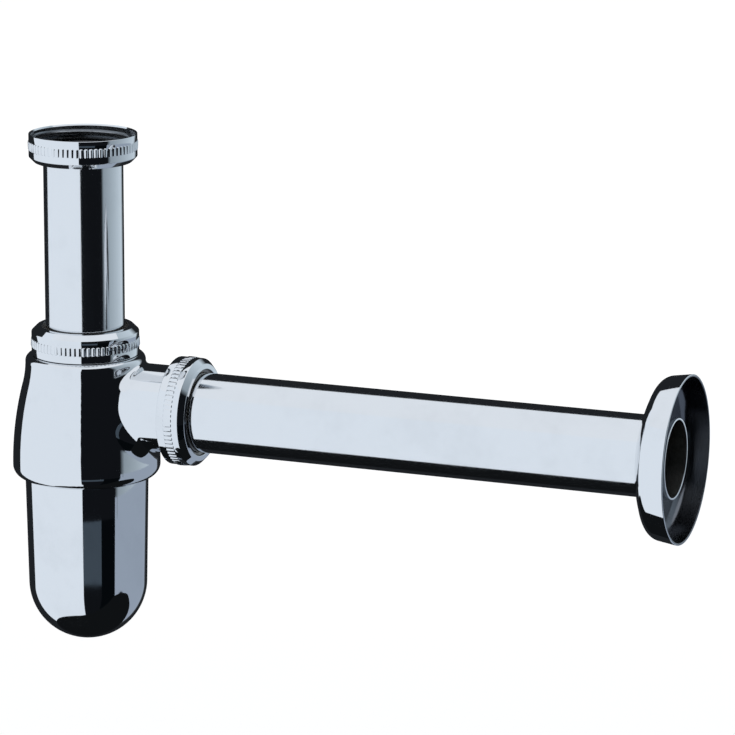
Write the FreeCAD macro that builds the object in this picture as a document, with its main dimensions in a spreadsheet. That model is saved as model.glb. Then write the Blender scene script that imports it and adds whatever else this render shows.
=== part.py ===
"""A chromed brass bottle trap for a wash basin, with its wall pipe and rosette.

Z runs up the inlet tube and X along the outlet pipe to the wall. The origin is the centre of the
inlet washer's upper face, where the basin waste seals inside the inlet union nut. Sizes are in mm.
"""
import FreeCAD, Part
import math
import os
import re
import Sketcher

Vector = FreeCAD.Vector

doc = FreeCAD.newDocument("bottle_trap")
sheet = doc.addObject("Spreadsheet::Sheet", "Sizes")

SIZES = {
    # tubes, ends and the drop between the inlet seal and the outlet
    "tube_radius": 16.0,
    "tube_wall": 0.8,
    "outlet_drop": 103.6,
    "water_seal": 50.0,
    "pipe_insertion": 18.0,
    "spigot_length": 7.0,
    "spigot_draw": 0.2,
    # union and compression nuts
    "nut_length": 11.4,
    "nut_wall": 0.745,
    "nut_shoulder": 3.2,
    "nut_edge": 0.3,
    "nut_lead": 0.4,
    "nut_web": 1.5,
    "nut_pocket": 1.2,
    "nut_bevel": 1.2,
    "nut_clearance": 0.3,
    "rib_start": 2.9,
    "rib_length": 3.8,
    "rib_root": 0.2,
    "rib_height": 0.5,
    "rib_width": 1.25,
    "rib_tip_width": 0.6,
    "rib_pitch": 1.95,
    # pipe thread of the basin side, outside the tube, and the trap's own shallower threads
    "thread_pitch": 2.309,
    "thread_rise": 3.476,
    "thread_depth": 1.479,
    "thread_start": 0.5,
    "thread_slant": 27.5,
    "thread_runout": 0.9,
    "socket_wall": 3.1,
    "own_thread_depth": 0.8,
    "thread_clearance": 0.15,
    # inlet collar and washer
    "seal_face_depth": 6.4,
    "washer_thickness": 2.0,
    "washer_clearance": 0.276,
    "washer_inset": 0.2,
    "collar_clearance": 0.476,
    "seat_gap": 0.1,
    # compression joints: slip ring and cone seal
    "joint_depth": 4.1,
    "ring_thickness": 1.2,
    "cone_mouth": 2.2,
    "cone_taper": 26.5,
    "cone_height": 3.6,
    "cone_gap": 0.15,
    "seal_gap": 0.05,
    "bore_clearance": 0.4,
    # trap body
    "branch_wall": 1.2,
    "branch_blend": 5.0,
    "branch_cover": 2.4,
    "branch_neck": 10.4,
    "nut_lift": 0.2,
    "shoulder_step": 2.6,
    "shoulder_round": 2.6,
    "flare_height": 8.0,
    "skirt_margin": 4.9,
    "skirt_below": 12.7,
    "skirt_round": 4.5,
    "body_wall": 2.0,
    "cup_socket_depth": 13.3,
    "ledge_thickness": 2.5,
    "ledge_margin": 0.2,
    # cup and its seal
    "cup_passage": 7.8,
    "cup_wall": 1.2,
    "cup_depth": 80.1,
    "cup_draft": 0.9,
    "cup_lip_wall": 1.55,
    "cup_neck": 10.4,
    "cup_thread_pitch": 2.0,
    "cup_thread_relief": 0.2,
    "cup_thread_depth": 0.65,
    "cup_clearance": 0.15,
    "cup_seal_thickness": 1.9,
    # wall rosette
    "rosette_reach": 252.3,
    "rosette_radius": 33.0,
    "rosette_sheet": 1.0,
    "rosette_skirt": 7.3,
    "rosette_lean": 8.6,
    "rosette_corner": 5.3,
    "rosette_crown": 71.0,
    "rosette_crown_lean": 25.0,
    "rosette_clearance": 0.1,
    "pipe_setback": 4.1,
}

# Sizes that follow from the ones above
DERIVED = {
    "thread_minor": "tube_radius + thread_rise",
    "thread_major": "thread_minor + thread_depth",
    "nut_radius": "thread_major + nut_wall",
    "socket_radius": "tube_radius + bore_clearance",
    "own_thread_root": "socket_radius + socket_wall",
    "own_thread_crest": "own_thread_root + own_thread_depth + thread_clearance",
    "washer_radius": "thread_minor - washer_clearance",
    "washer_hole": "tube_radius - tube_wall - washer_inset",
    "collar_radius": "thread_minor - collar_clearance",
    "cone_radius": "socket_radius + cone_mouth",
    "branch_radius": "socket_radius + branch_wall",
    "shoulder_height": "branch_radius + branch_cover",
    "neck_nut_height": "shoulder_height + nut_lift",
    "shoulder_radius": "nut_radius + shoulder_step",
    "cup_radius": "tube_radius + cup_passage + cup_wall",
    "skirt_radius": "cup_radius + skirt_margin",
    "skirt_drop": "branch_radius + skirt_below",
    "branch_nut_reach": "skirt_radius + branch_neck",
    "ledge_drop": "skirt_drop - cup_socket_depth",
    "cup_dome": "cup_radius - cup_draft",
    "cup_thread_crest": "cup_radius - cup_thread_relief",
    "cup_lip": "cup_thread_crest - cup_thread_depth - cup_lip_wall",
    "ledge_radius": "cup_lip - ledge_margin",
    "pipe_end_reach": "rosette_reach - pipe_setback",
}

for row, (alias, value) in enumerate(SIZES.items(), start=1):
    sheet.set(f"A{row}", alias)
    sheet.set(f"B{row}", str(value))
    sheet.setAlias(f"B{row}", alias)
doc.recompute()


def bound(text):
    """The text with each derived size written out and each named size written as the sheet's cell."""

    def spelled(found):
        name = found.group(0)
        return f"({bound(DERIVED[name])})" if name in DERIVED else f"Sizes.{name}"

    return re.sub(r"\b[a-z]+(?:_[a-z]+)+\b", spelled, text)


def size_of(text):
    """The present value of an expression of named sizes."""
    value = sheet.evalExpression(bound(text))
    return float(getattr(value, "Value", value))


def new_body(name):
    body = doc.addObject("PartDesign::Body", name)
    body.Label = name
    return body


def origin_plane(body, role):
    return next(f for f in body.Origin.OriginFeatures if f.Role == role)


def new_sketch(body, name, role):
    sketch = body.newObject("Sketcher::SketchObject", name)
    sketch.AttachmentSupport = [(origin_plane(body, role), "")]
    sketch.MapMode = "FlatFace"
    return sketch


def hold(sketch, kind, geometry, text):
    """Add a constraint and bind its value to the sizes."""
    index = sketch.addConstraint(Sketcher.Constraint(kind, *geometry, size_of(text)))
    sketch.setExpression(f"Constraints[{index}]", bound(text))


def hold_point(sketch, edge, end, across, along):
    """Fix one end of an edge at a distance from the sketch's two axes."""
    if across == "0":
        sketch.addConstraint(Sketcher.Constraint("PointOnObject", edge, end, -2))
    else:
        hold(sketch, "DistanceX", (-1, 1, edge, end), across)
    if along == "0":
        sketch.addConstraint(Sketcher.Constraint("PointOnObject", edge, end, -1))
    else:
        hold(sketch, "DistanceY", (-1, 1, edge, end), along)


def short_arc(start, finish, radius, left):
    """The arc under half a turn between two points, with its centre left or right of the way."""
    middle = (start + finish) * 0.5
    way = finish - start
    height = math.sqrt(max(radius * radius - way.Length * way.Length / 4, 0))
    side = Vector(-way.y, way.x, 0).normalize() * (1 if left else -1)
    bulge = middle - side * (radius - height)
    return Part.Arc(start, bulge, finish)


def draw_outline(sketch, points):
    """Draw a closed outline. A point is (across, along) or (across, along, radius, side), where the
    radius and side make the edge to the next point an arc."""
    places = [Vector(size_of(p[0]), size_of(p[1]), 0) for p in points]
    ends = []
    for index, point in enumerate(points):
        start = places[index]
        finish = places[(index + 1) % len(points)]
        if len(point) == 2:
            edge = sketch.addGeometry(Part.LineSegment(start, finish), False)
            ends.append((edge, 1, 2))
            continue
        arc = short_arc(start, finish, size_of(point[2]), point[3] == "left")
        edge = sketch.addGeometry(arc, False)
        first = sketch.getPoint(edge, 1)
        in_order = first.distanceToPoint(start) < first.distanceToPoint(finish)
        ends.append((edge, 1, 2) if in_order else (edge, 2, 1))
        hold(sketch, "Radius", (edge,), point[2])
    for index, point in enumerate(points):
        edge, first, _ = ends[index]
        before, _, before_last = ends[index - 1]
        sketch.addConstraint(Sketcher.Constraint("Coincident", before, before_last, edge, first))
        hold_point(sketch, edge, first, point[0], point[1])


def turn(body, name, points, feature="Revolution", axis="V_Axis"):
    """Turn an outline, drawn on the XZ plane, about the body's Z axis or its X axis."""
    sketch = new_sketch(body, f"{name}_outline", "XZ_Plane")
    draw_outline(sketch, points)
    made = body.newObject(f"PartDesign::{feature}", name)
    made.Profile = sketch
    made.ReferenceAxis = (sketch, [axis])
    made.Angle = 360
    doc.recompute()
    return made


def place(body, x="0", z="0", turned=None):
    """Put a body on the trap, turned from Z to the way it points."""
    if turned:
        body.Placement = FreeCAD.Placement(Vector(), turned)
    body.setExpression("Placement.Base.x", bound(x))
    body.setExpression("Placement.Base.z", bound(z))


TO_WALL = FreeCAD.Rotation(Vector(0, 1, 0), 90)
DOWNWARD = FreeCAD.Rotation(Vector(1, 0, 0), 180)

# Heights and reaches that several pieces share
SEAT_FACE = "(nut_length - nut_web)"
JOINT_END = "(nut_length - joint_depth)"
NECK_END = f"(neck_nut_height + {JOINT_END})"
BRANCH_END = f"(branch_nut_reach + {JOINT_END})"
TUBE_BORE = "tube_radius - tube_wall"
CUP_RIM = "(ledge_drop + cup_seal_thickness + seal_gap)"


def thread_rings(start, root, crest, pitch, count, side):
    """Points of a row of thread rings between a root and a crest radius, going up or down."""
    way = "+" if side == "up" else "-"
    points = []
    flank = f"abs({crest} - ({root})) * tan(thread_slant)"
    for turn_number in range(count):
        foot = f"{start} {way} {turn_number} * {pitch}"
        points += [
            (root, foot),
            (crest, f"{foot} {way} {flank}"),
            (crest, f"{foot} {way} {pitch} / 2"),
            (root, f"{foot} {way} ({pitch} / 2 + {flank})"),
        ]
    return points


def turns_in(length, pitch):
    """How many thread rings fit in a length with the run-out at its end."""
    return max(int(size_of(f"({length} - thread_runout) / {pitch}")), 1)


def nut(name, root, crest):
    """A round nut with a knurled band. It stands on its open rim, with its closed end up."""
    body = new_body(name)
    count = turns_in("(nut_length - thread_start - nut_web - nut_bevel)", "thread_pitch")
    thread = thread_rings("thread_start", root, crest, "thread_pitch", count, "up")
    pocket = f"({root} - nut_pocket * ({root} - thread_minor) / (thread_major - thread_minor))"
    outline = [
        (root, "nut_lead"),
        ("nut_radius - nut_edge", "0", "nut_edge", "left"),
        ("nut_radius", "nut_edge"),
        ("nut_radius", "rib_start"),
        ("nut_radius - rib_root", "rib_start + rib_root"),
        ("nut_radius - rib_root", "rib_start + rib_length - rib_root"),
        ("nut_radius", "rib_start + rib_length"),
        ("nut_radius", "nut_length - nut_shoulder", "nut_shoulder", "left"),
        ("nut_radius - nut_shoulder", "nut_length"),
        ("tube_radius + nut_clearance", "nut_length"),
        ("tube_radius + nut_clearance", SEAT_FACE),
        ("thread_minor", SEAT_FACE),
        (pocket, f"{SEAT_FACE} - nut_bevel"),
    ]
    turn(body, f"{name}_blank", outline + list(reversed(thread)))

    rib_sketch = new_sketch(body, f"{name}_rib_outline", "XY_Plane")
    rib_sketch.setExpression("AttachmentOffset.Base.z", bound("rib_start + rib_root"))
    foot = "nut_radius - rib_root - rib_root"
    tip = "nut_radius - rib_root + rib_height"
    draw_outline(
        rib_sketch,
        [
            (foot, "-rib_width / 2"),
            (tip, "-rib_tip_width / 2"),
            (tip, "rib_tip_width / 2"),
            (foot, "rib_width / 2"),
        ],
    )
    rib = body.newObject("PartDesign::Pad", f"{name}_rib")
    rib.Profile = rib_sketch
    rib.setExpression("Length", bound("rib_length - 2 * rib_root"))
    doc.recompute()
    ribs = body.newObject("PartDesign::PolarPattern", f"{name}_ribs")
    ribs.Originals = [rib]
    ribs.Axis = (origin_plane(body, "Z_Axis"), [""])
    ribs.Angle = 360
    ribs.setExpression("Occurrences", bound("round(2 * pi * nut_radius / rib_pitch)"))
    body.Tip = ribs
    doc.recompute()
    return body


def slip_ring(name):
    """A flat nylon ring that lets a nut turn without dragging the seal below it."""
    body = new_body(name)
    top = f"{SEAT_FACE} - seal_gap"
    bottom = f"{SEAT_FACE} - seal_gap - ring_thickness"
    inner = "tube_radius + nut_clearance"
    outline = [(inner, bottom), ("washer_radius", bottom), ("washer_radius", top), (inner, top)]
    turn(body, f"{name}_blank", outline)
    return body


def cone_seal(name):
    """A rubber wedge ring that a nut presses between the tube and the mouth of its socket."""
    body = new_body(name)
    top = f"{SEAT_FACE} - 2 * seal_gap - ring_thickness"
    lip = f"{JOINT_END} + cone_gap"
    tip = f"{lip} - cone_height"
    outline = [
        ("tube_radius + seal_gap", tip),
        ("cone_radius - cone_height * tan(cone_taper)", tip),
        ("cone_radius", lip),
        ("cone_radius", top),
        ("tube_radius + seal_gap", top),
    ]
    turn(body, f"{name}_blank", outline)
    return body


def tube(name, length, extra_top, extra_bottom=()):
    """A thin straight tube that stands on its lower end, with what its two ends add to the outline."""
    body = new_body(name)
    outline = [(TUBE_BORE, "0"), *extra_bottom, *extra_top, (TUBE_BORE, length)]
    turn(body, f"{name}_blank", outline)
    return body


# Basin side: the union nut with the real thread, its washer, and the collared dip tube
inlet_union_nut = nut("inlet_union_nut", "thread_major", "thread_minor")
place(inlet_union_nut, z="seal_face_depth", turned=DOWNWARD)

inlet_washer = new_body("inlet_washer")
turn(
    inlet_washer,
    "washer_blank",
    [
        ("washer_hole", "0"),
        ("washer_radius", "0"),
        ("washer_radius", "washer_thickness"),
        ("washer_hole", "washer_thickness"),
    ],
)
place(inlet_washer, z="-washer_thickness")

DIP_LENGTH = f"(outlet_drop + {TUBE_BORE} + water_seal - washer_thickness)"
COLLAR = f"({SEAT_FACE} - seal_face_depth - washer_thickness - seat_gap)"
inlet_tube = tube(
    "inlet_tube",
    DIP_LENGTH,
    [
        ("tube_radius", f"{DIP_LENGTH} - {COLLAR}"),
        ("collar_radius", f"{DIP_LENGTH} - {COLLAR}"),
        ("collar_radius", DIP_LENGTH),
    ],
    [("tube_radius", "0")],
)
place(inlet_tube, z=f"-washer_thickness - {DIP_LENGTH}")

# Trap body: bell, branch, their blend, then the hollows and the male threads
trap_body = new_body("trap_body")
EDGE_TOP = "(shoulder_height - shoulder_round)"
EDGE_LOW = "(skirt_drop - skirt_round)"
LEAN = f"(2 * atan((skirt_radius - shoulder_radius) / ({EDGE_TOP} + {EDGE_LOW})))"
FLARE = f"(({EDGE_TOP} - flare_height) / sin({LEAN}))"
BELLY = f"((flare_height + {EDGE_LOW}) / sin({LEAN}))"
WAIST = f"(shoulder_radius + ({EDGE_TOP} - flare_height) * tan({LEAN} / 2))"
MALE_CREST = "own_thread_crest - thread_clearance"


def male_rings(end, foot):
    """Thread rings from the end face of a socket back towards its foot."""
    count = turns_in(f"({end} - {foot})", "thread_pitch")
    return thread_rings(
        f"{end} - nut_edge", "own_thread_root", MALE_CREST, "thread_pitch", count, "down"
    )


turn(
    trap_body,
    "bell",
    [
        ("0", NECK_END),
        ("own_thread_root", NECK_END),
        *male_rings(NECK_END, "shoulder_height"),
        ("own_thread_root", "shoulder_height"),
        ("shoulder_radius - shoulder_round", "shoulder_height", "shoulder_round", "right"),
        ("shoulder_radius", EDGE_TOP, FLARE, "left"),
        (WAIST, "flare_height", BELLY, "right"),
        ("skirt_radius", f"-{EDGE_LOW}", "skirt_round", "right"),
        ("skirt_radius - skirt_round", "-skirt_drop"),
        ("0", "-skirt_drop"),
    ],
)
BRANCH_STEP = "(branch_nut_reach + nut_edge)"
turn(
    trap_body,
    "branch",
    [
        ("0", "0"),
        ("0", "branch_radius"),
        (BRANCH_STEP, "branch_radius"),
        (BRANCH_STEP, "own_thread_root"),
        *[(along, across) for across, along in reversed(male_rings(BRANCH_END, BRANCH_STEP))],
        (BRANCH_END, "own_thread_root"),
        (BRANCH_END, "0"),
    ],
    axis="H_Axis",
)


def blend_edges(shape):
    """The edges where the branch leaves the bell: those that are neither circles nor straight."""
    names = []
    reach = size_of("skirt_radius + branch_wall")
    for number, edge in enumerate(shape.Edges, start=1):
        box = edge.BoundBox
        curved = not isinstance(edge.Curve, (Part.Circle, Part.Line))
        if curved and box.XMin > 0 and box.XMax < reach:
            names.append(f"Edge{number}")
    return names


blend = trap_body.newObject("PartDesign::Fillet", "branch_blend")
blend.Base = (trap_body.getObject("branch"), blend_edges(trap_body.getObject("branch").Shape))
blend.setExpression("Radius", bound("branch_blend"))
doc.recompute()

FEMALE_CREST = "(cup_thread_crest + cup_clearance)"
FEMALE_ROOT = f"({FEMALE_CREST} + cup_thread_depth)"
BELLY_CENTRE = f"(skirt_radius - {BELLY})"
LEDGE_TOP = "(ledge_drop - ledge_thickness)"
LEDGE_WALL = (
    f"({BELLY_CENTRE} + sqrt(({BELLY} - body_wall) * ({BELLY} - body_wall)"
    f" - ({EDGE_LOW} - {LEDGE_TOP}) * ({EDGE_LOW} - {LEDGE_TOP})))"
)
SEAT_DEPTH = "((cone_radius - socket_radius) / tan(cone_taper))"
cup_turns = turns_in(f"(skirt_drop - {CUP_RIM} - thread_runout)", "cup_thread_pitch")
THREAD_FOOT = f"{CUP_RIM} + {cup_turns} * cup_thread_pitch"
turn(
    trap_body,
    "cavity",
    [
        ("0", f"{NECK_END} + seat_gap"),
        ("cone_radius + seat_gap * tan(cone_taper)", f"{NECK_END} + seat_gap"),
        ("socket_radius", f"{NECK_END} - {SEAT_DEPTH}"),
        ("socket_radius", EDGE_TOP),
        ("shoulder_radius - body_wall", EDGE_TOP, f"{FLARE} + body_wall", "left"),
        (
            f"{WAIST} - body_wall * cos({LEAN})",
            f"flare_height - body_wall * sin({LEAN})",
            f"{BELLY} - body_wall",
            "right",
        ),
        (LEDGE_WALL, f"-{LEDGE_TOP}"),
        ("ledge_radius", f"-{LEDGE_TOP}"),
        ("ledge_radius", "-ledge_drop"),
        (FEMALE_CREST, "-ledge_drop"),
        *thread_rings(
            f"-{CUP_RIM}", FEMALE_CREST, FEMALE_ROOT, "cup_thread_pitch", cup_turns, "down"
        ),
        (FEMALE_CREST, f"-({THREAD_FOOT})"),
        ("cup_radius + cup_clearance", f"-({THREAD_FOOT} + 2 * cup_clearance)"),
        ("cup_radius + cup_clearance", "-skirt_drop - seat_gap"),
        ("0", "-skirt_drop - seat_gap"),
    ],
    feature="Groove",
)
turn(
    trap_body,
    "branch_bore",
    [
        ("0", "0"),
        ("0", "socket_radius"),
        (f"{BRANCH_END} - {SEAT_DEPTH}", "socket_radius"),
        (f"{BRANCH_END} + seat_gap", "cone_radius + seat_gap * tan(cone_taper)"),
        (f"{BRANCH_END} + seat_gap", "0"),
    ],
    feature="Groove",
    axis="H_Axis",
)
place(trap_body, z="-outlet_drop")

# Neck joint: nut, slip ring and cone seal on the dip tube
for make, name in ((slip_ring, "top_slip_ring"), (cone_seal, "top_cone_seal")):
    place(make(name), z="neck_nut_height - outlet_drop")
body_top_nut = nut("body_top_nut", "(thread_major + seal_gap)", "own_thread_crest")
place(body_top_nut, z="neck_nut_height - outlet_drop")

# Cup: a tapered bottle with a round end and a threaded neck, and the flat ring that seals it
cup = new_body("cup")
DOME = "(cup_depth - cup_dome)"
SPAN = f"sqrt(cup_radius * cup_radius + ({DOME} - cup_neck) * ({DOME} - cup_neck))"
TAPER = f"(acos(cup_dome / {SPAN}) - atan(({DOME} - cup_neck) / cup_radius))"
INNER_DOME = "(cup_dome - cup_wall)"
ring_count = turns_in("(cup_neck - 2 * cup_clearance)", "cup_thread_pitch")
MALE_ROOT = "(cup_thread_crest - cup_thread_depth)"
turn(
    cup,
    "cup_blank",
    [
        ("cup_lip", "0"),
        (MALE_ROOT, "0"),
        *thread_rings(
            "-nut_edge", MALE_ROOT, "cup_thread_crest", "cup_thread_pitch", ring_count, "down"
        ),
        (MALE_ROOT, f"-cup_neck + cup_radius - {MALE_ROOT}"),
        ("cup_radius", f"-cup_neck"),
        (f"cup_dome * cos({TAPER})", f"-{DOME} - cup_dome * sin({TAPER})", "cup_dome", "right"),
        ("0", "-cup_depth"),
        ("0", "-cup_depth + cup_wall", INNER_DOME, "left"),
        (f"{INNER_DOME} * cos({TAPER})", f"-{DOME} - {INNER_DOME} * sin({TAPER})"),
        ("cup_radius - cup_wall", f"-cup_neck - cup_wall"),
        ("cup_lip", f"-cup_neck"),
    ],
)
place(cup, z=f"-outlet_drop - {CUP_RIM}")

cup_seal = new_body("cup_seal")
turn(
    cup_seal,
    "cup_seal_blank",
    [
        ("ledge_radius", "0"),
        ("cup_thread_crest", "0"),
        ("cup_thread_crest", "cup_seal_thickness"),
        ("ledge_radius", "cup_seal_thickness"),
    ],
)
place(cup_seal, z=f"-outlet_drop - {CUP_RIM}")

# Outlet joint and the pipe to the wall
for make, name in ((slip_ring, "outlet_slip_ring"), (cone_seal, "outlet_cone_seal")):
    place(make(name), x="branch_nut_reach", z="-outlet_drop", turned=TO_WALL)
outlet_nut = nut("outlet_nut", "(thread_major + seal_gap)", "own_thread_crest")
place(outlet_nut, x="branch_nut_reach", z="-outlet_drop", turned=TO_WALL)

PIPE_START = f"({BRANCH_END} - pipe_insertion)"
PIPE_LENGTH = f"(pipe_end_reach - {PIPE_START})"
outlet_pipe = new_body("outlet_pipe")
turn(
    outlet_pipe,
    "pipe_blank",
    [
        (TUBE_BORE, "0"),
        ("tube_radius", "0"),
        ("tube_radius", f"{PIPE_LENGTH} - spigot_length - spigot_draw"),
        ("tube_radius - spigot_draw", f"{PIPE_LENGTH} - spigot_length"),
        ("tube_radius - spigot_draw", PIPE_LENGTH),
        (f"{TUBE_BORE} - spigot_draw", PIPE_LENGTH),
        (f"{TUBE_BORE} - spigot_draw", f"{PIPE_LENGTH} - spigot_length"),
        (TUBE_BORE, f"{PIPE_LENGTH} - spigot_length - spigot_draw"),
    ],
)
place(outlet_pipe, x=PIPE_START, z="-outlet_drop", turned=TO_WALL)

# Wall rosette: a domed sheet with a leaning skirt, hollow towards the wall
wall_rosette = new_body("wall_rosette")
KNEE = "(rosette_radius - rosette_skirt * tan(rosette_lean))"
CORNER_R = f"({KNEE} - rosette_corner * cos(rosette_lean))"
CORNER_Z = "(rosette_skirt - rosette_corner * sin(rosette_lean))"
CROWN_R = f"({CORNER_R} - (rosette_crown - rosette_corner) * sin(rosette_crown_lean))"
CROWN_Z = f"({CORNER_Z} - (rosette_crown - rosette_corner) * cos(rosette_crown_lean))"
HOLE = "(tube_radius + rosette_clearance)"


def rosette_side(depth):
    """Outline points of the sheet's outer face, or of its inner face one sheet below, from the rim."""
    corner = f"(rosette_corner - {depth})"
    crown = f"(rosette_crown - {depth})"
    hole_height = f"{CROWN_Z} + sqrt({crown} * {crown} - ({HOLE} - {CROWN_R}) * ({HOLE} - {CROWN_R}))"
    return [
        (f"rosette_radius - {depth} / cos(rosette_lean)", "0"),
        (
            f"{CORNER_R} + {corner} * cos(rosette_lean)",
            f"{CORNER_Z} + {corner} * sin(rosette_lean)",
            corner,
        ),
        (
            f"{CORNER_R} + {corner} * sin(rosette_crown_lean)",
            f"{CORNER_Z} + {corner} * cos(rosette_crown_lean)",
            crown,
        ),
        (HOLE, hole_height),
    ]


outer_side = rosette_side("0")
inner_side = rosette_side("rosette_sheet")
outer_way = [p if len(p) == 2 else (*p, "left") for p in outer_side]
inner_way = [
    inner_side[3] + (inner_side[2][2], "right"),
    inner_side[2][:2] + (inner_side[1][2], "right"),
    inner_side[1][:2],
    inner_side[0],
]
turn(wall_rosette, "rosette_blank", outer_way + inner_way)
place(
    wall_rosette,
    x="rosette_reach",
    z="-outlet_drop",
    turned=FreeCAD.Rotation(Vector(0, 1, 0), -90),
)

doc.recompute()

for item in doc.Objects:
    if "Invalid" in item.State or "Error" in item.State:
        raise RuntimeError(f"{item.Label} is {item.State}")
bodies = [item for item in doc.Objects if item.TypeId == "PartDesign::Body"]
for body in bodies:
    if body.Shape.isNull() or not body.Shape.isValid():
        raise RuntimeError(f"{body.Label} has no valid solid")

os.makedirs("parts", exist_ok=True)
for body in bodies:
    body.Shape.exportStep(f"parts/{body.Label}.step")
    print(body.Label, len(body.Shape.Solids), round(body.Shape.Volume, 1), body.Shape.BoundBox)
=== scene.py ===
"""A chromed bottle trap for a wash basin: nuts, tubes, bell-shaped body, cup and wall rosette."""
import math

import bmesh
import bpy
import numpy
from mathutils import Matrix, Vector


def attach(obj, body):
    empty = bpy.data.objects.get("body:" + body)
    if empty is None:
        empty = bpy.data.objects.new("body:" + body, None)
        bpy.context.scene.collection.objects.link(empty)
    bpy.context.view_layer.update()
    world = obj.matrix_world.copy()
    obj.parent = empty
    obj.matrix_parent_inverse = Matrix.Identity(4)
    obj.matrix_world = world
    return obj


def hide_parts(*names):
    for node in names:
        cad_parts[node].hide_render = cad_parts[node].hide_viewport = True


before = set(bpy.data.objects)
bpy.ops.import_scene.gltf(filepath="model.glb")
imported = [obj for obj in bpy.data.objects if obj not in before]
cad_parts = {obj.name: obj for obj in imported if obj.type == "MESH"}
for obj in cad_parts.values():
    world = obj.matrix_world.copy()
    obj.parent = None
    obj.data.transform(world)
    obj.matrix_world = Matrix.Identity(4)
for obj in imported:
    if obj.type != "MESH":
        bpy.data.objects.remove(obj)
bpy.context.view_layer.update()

# Inlet union nut
# A turned brass nut with a knurled grip band and a pipe thread, polished and chrome plated. It
# hangs loose on the inlet tube and pulls its collar and washer up against the basin waste.

MM = 0.001
AXIS_DROP = -103.6  # height of the branch and pipe axis under the washer's upper face


def add_node(tree, kind, inputs=None, **settings):
    """A new node with its settings, and its inputs joined to sockets or set to values."""
    made = tree.nodes.new(kind)
    for key, value in settings.items():
        setattr(made, key, value)
    for key, value in (inputs or {}).items():
        if isinstance(value, bpy.types.NodeSocket):
            tree.links.new(value, made.inputs[key])
        else:
            made.inputs[key].default_value = value
    return made


def sum_of(tree, operation, first, second=0.0, third=0.0):
    """The value of a math node."""
    made = add_node(tree, "ShaderNodeMath", {0: first, 1: second, 2: third}, operation=operation)
    return made.outputs[0]


def new_tree(name, kind, takes, gives):
    """A node tree with named inputs and outputs, and its two end nodes."""
    tree = bpy.data.node_groups.new(name, kind)
    for socket, value in takes.items():
        whole = isinstance(value, int)
        made = tree.interface.new_socket(
            socket, in_out="INPUT", socket_type="NodeSocketInt" if whole else "NodeSocketFloat"
        )
        made.default_value = value
    for socket, socket_type in gives.items():
        tree.interface.new_socket(socket, in_out="OUTPUT", socket_type=socket_type)
    return tree, tree.nodes.new("NodeGroupInput"), tree.nodes.new("NodeGroupOutput")


# Marks that polishing, handling and drying water leave: broad cloudy smears, fine hairlines that
# run round and along, and a slight waviness of the surface under them
marks, taken, given = new_tree(
    "handling_marks",
    "ShaderNodeTree",
    {"Smear size": 60.0, "Hairline size": 900.0, "Wave size": 90.0},
    {"Smears": "NodeSocketFloat", "Hairlines": "NodeSocketFloat", "Height": "NodeSocketFloat"},
)
spot = add_node(marks, "ShaderNodeTexCoord").outputs["Object"]
smear = add_node(
    marks,
    "ShaderNodeTexNoise",
    {"Vector": spot, "Scale": taken.outputs["Smear size"], "Detail": 5.0, "Roughness": 0.62},
)
smear_mask = add_node(
    marks,
    "ShaderNodeMapRange",
    {"Value": smear.outputs["Fac"], "From Min": 0.46, "From Max": 0.72},
    interpolation_type="SMOOTHSTEP",
)
stretched = add_node(marks, "ShaderNodeMapping", {"Vector": spot, "Scale": (1.0, 1.0, 0.035)})
hairline = add_node(
    marks,
    "ShaderNodeTexNoise",
    {"Vector": stretched.outputs[0], "Scale": taken.outputs["Hairline size"], "Detail": 2.0},
)
hairline_mask = add_node(
    marks,
    "ShaderNodeMapRange",
    {"Value": hairline.outputs["Fac"], "From Min": 0.62, "From Max": 0.74},
)
wave = add_node(
    marks,
    "ShaderNodeTexNoise",
    {"Vector": spot, "Scale": taken.outputs["Wave size"], "Detail": 1.0, "Roughness": 0.3},
)
marks.links.new(smear_mask.outputs[0], given.inputs["Smears"])
marks.links.new(hairline_mask.outputs[0], given.inputs["Hairlines"])
marks.links.new(
    sum_of(marks, "MULTIPLY_ADD", hairline_mask.outputs[0], -0.01, wave.outputs["Fac"]),
    given.inputs["Height"],
)


def surface(name, clean, smeared, sleek, dull, metallic, bump, sizes, **constants):
    """A material whose colour and roughness change under the handling marks."""
    made = bpy.data.materials.new(name)
    made.use_nodes = True
    tree = made.node_tree
    shader = tree.nodes["Principled BSDF"]
    shader.inputs["Metallic"].default_value = metallic
    for key, value in constants.items():
        shader.inputs[key].default_value = value
    group = add_node(tree, "ShaderNodeGroup", node_tree=marks)
    for key, value in sizes.items():
        group.inputs[key].default_value = value
    colour = add_node(
        tree,
        "ShaderNodeMix",
        {"Factor": group.outputs["Smears"], 6: (*clean, 1.0), 7: (*smeared, 1.0)},
        data_type="RGBA",
    )
    tree.links.new(colour.outputs[2], shader.inputs["Base Color"])
    worn = sum_of(tree, "MULTIPLY_ADD", group.outputs["Hairlines"], 0.5, group.outputs["Smears"])
    rough = add_node(
        tree,
        "ShaderNodeMapRange",
        {"Value": worn, "From Min": 0.0, "From Max": 1.5, "To Min": sleek, "To Max": dull},
    )
    tree.links.new(rough.outputs[0], shader.inputs["Roughness"])
    relief = add_node(
        tree,
        "ShaderNodeBump",
        {"Height": group.outputs["Height"], "Strength": 1.0, "Distance": bump},
    )
    tree.links.new(relief.outputs[0], shader.inputs["Normal"])
    return made


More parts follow.
